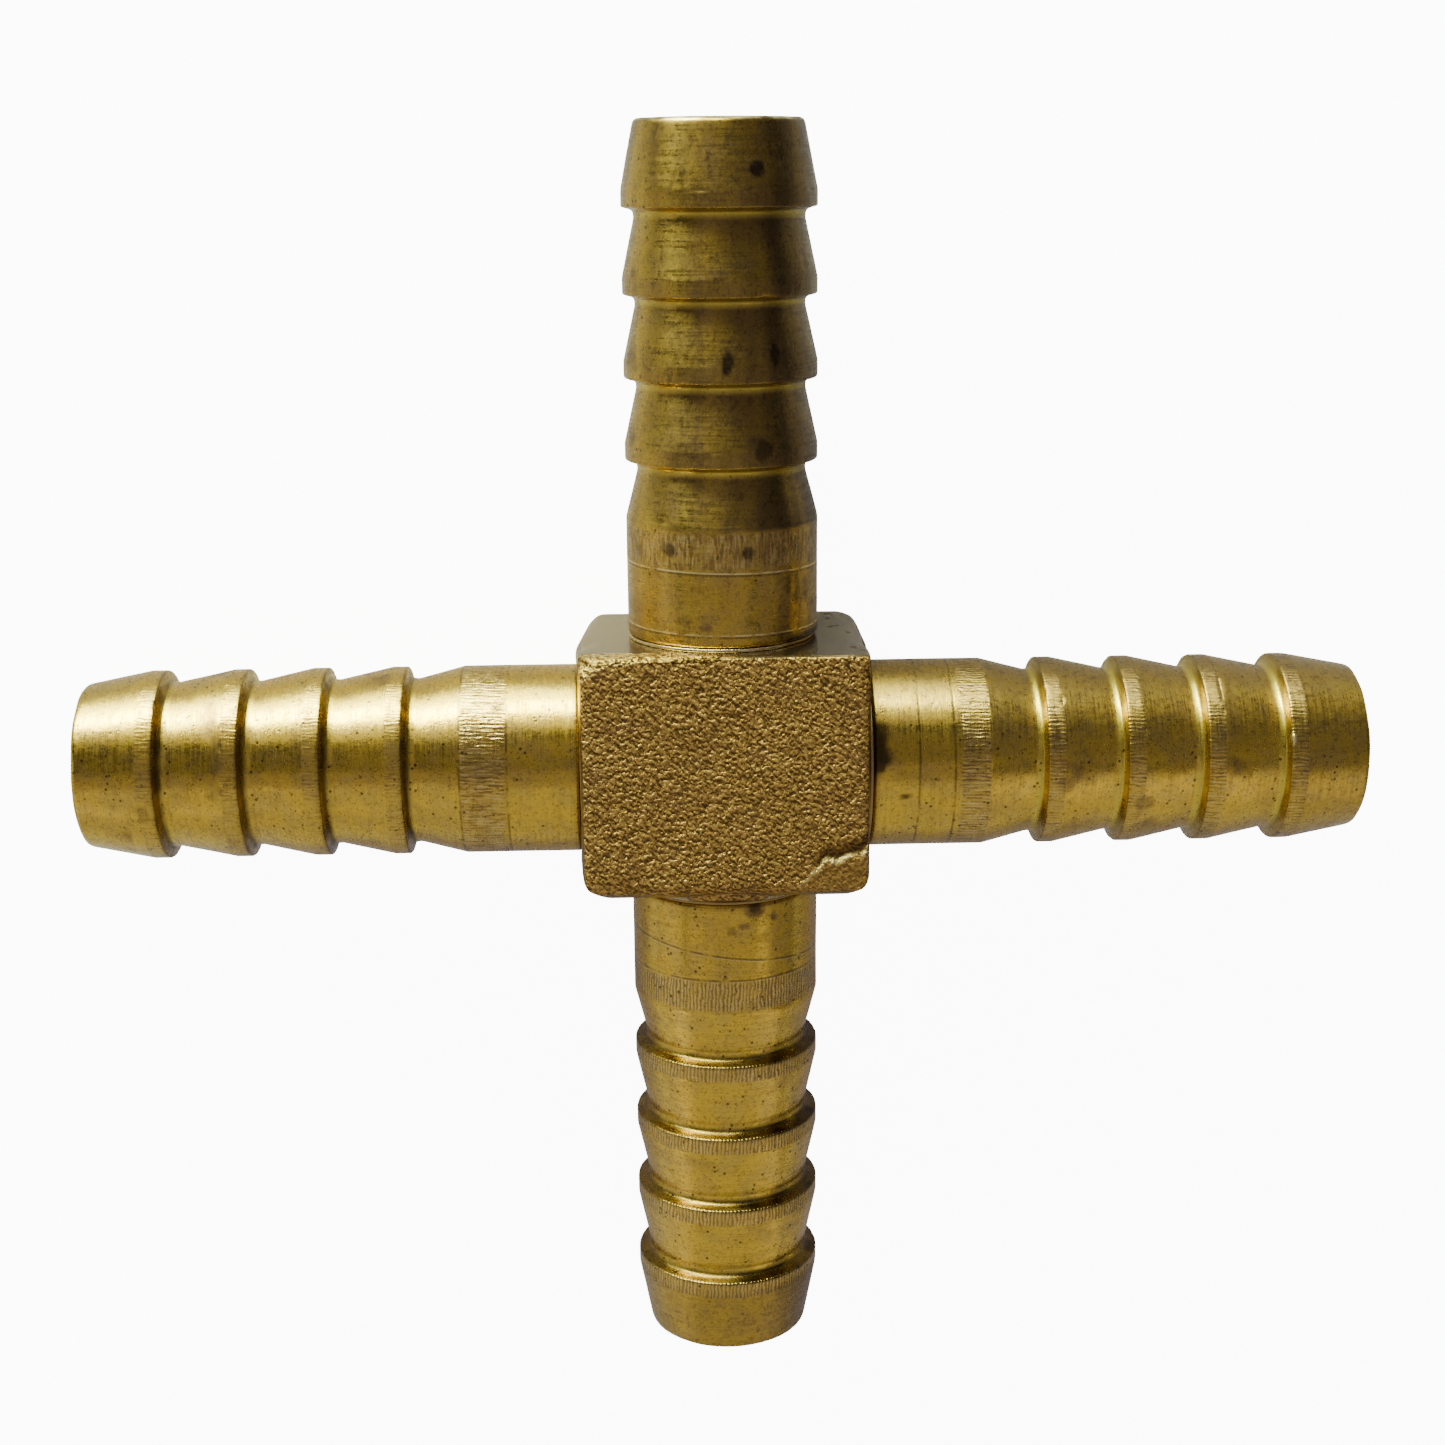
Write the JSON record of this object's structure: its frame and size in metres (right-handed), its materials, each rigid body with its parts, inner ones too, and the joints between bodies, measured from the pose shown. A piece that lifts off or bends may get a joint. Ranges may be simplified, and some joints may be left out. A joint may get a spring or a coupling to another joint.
{
  "type": "barbed hose cross",
  "caption": "Barbed brass hose cross: a square block with a turned barbed nipple on each side, joining hoses at right angles.",
  "frame": {"origin": "the crossing of the two waterways, at the centre of the block", "axes": "+X along the right arm, +Y along the top arm, +Z out of the rough upper face of the block, with the cross lying flat"},
  "size_m": [0.073, 0.0714, 0.0128],
  "materials": {
    "forged_brass": "rough as-forged faces, machined sides",
    "turned_brass": "turned, slightly tarnished",
    "braze_filler": "bright"
  },
  "bodies": {
    "root": {"body_block": "forged_brass", "nipple_left": "turned_brass", "nipple_right": "turned_brass", "nipple_top": "turned_brass", "nipple_bottom": "turned_brass", "braze_ring_left": "braze_filler", "braze_ring_right": "braze_filler", "braze_ring_top": "braze_filler", "braze_ring_bottom": "braze_filler"}
  },
  "joints": []
}
